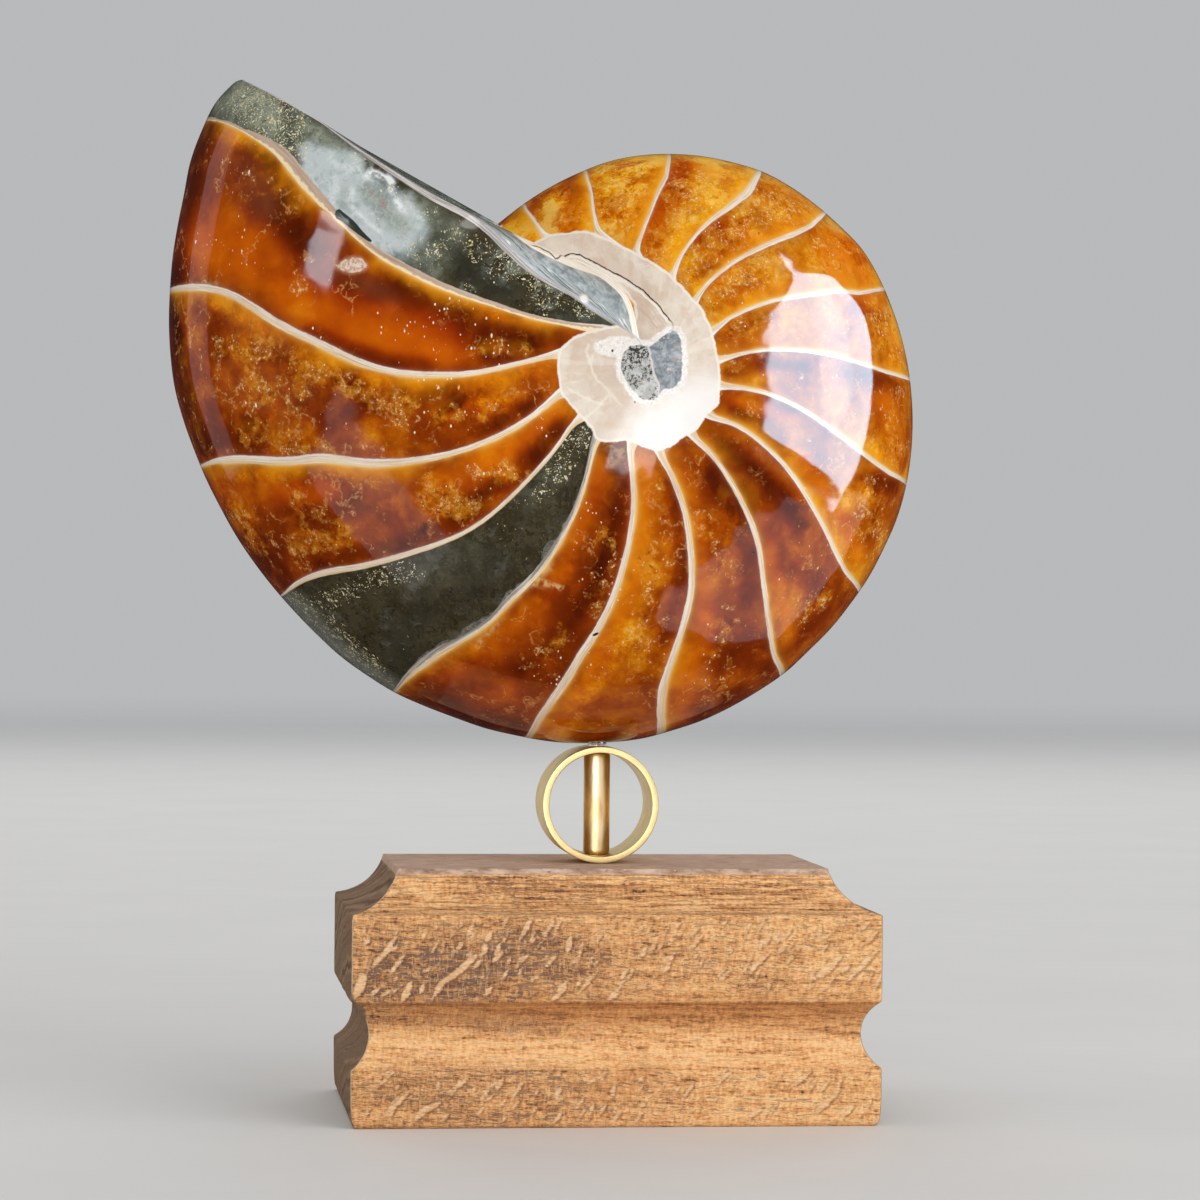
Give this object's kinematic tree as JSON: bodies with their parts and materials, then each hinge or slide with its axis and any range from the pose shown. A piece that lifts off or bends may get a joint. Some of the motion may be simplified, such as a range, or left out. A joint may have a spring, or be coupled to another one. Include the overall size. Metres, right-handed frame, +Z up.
{
  "type": "fossil nautilus on stand",
  "caption": "Polished whole fossil nautilus with stone-filled chambers, standing on a short brass tube and rod above a moulded oak block.",
  "frame": {"origin": "centre of the oak block's underside", "axes": "+Z up; +X towards the side of the fossil's older whorl, with its cut aperture towards -X; -Y is the front, and the fossil's plane of symmetry is the XZ plane"},
  "size_m": [0.1162, 0.0554, 0.1588],
  "materials": {
    "fossil_stone": "high polish, translucent amber and red-brown calcite chambers between cream walls",
    "oak": "dull sanded oak with dark open pores and pale ray flecks",
    "brass": "pale satin brass, sawn and lightly brushed",
    "steel": "bright steel stud"
  },
  "bodies": {
    "root": {"nautilus_fossil": "fossil_stone", "oak_base": "oak", "brass_ring": "brass", "brass_rod": "brass", "steel_stud": "steel"}
  },
  "joints": []
}
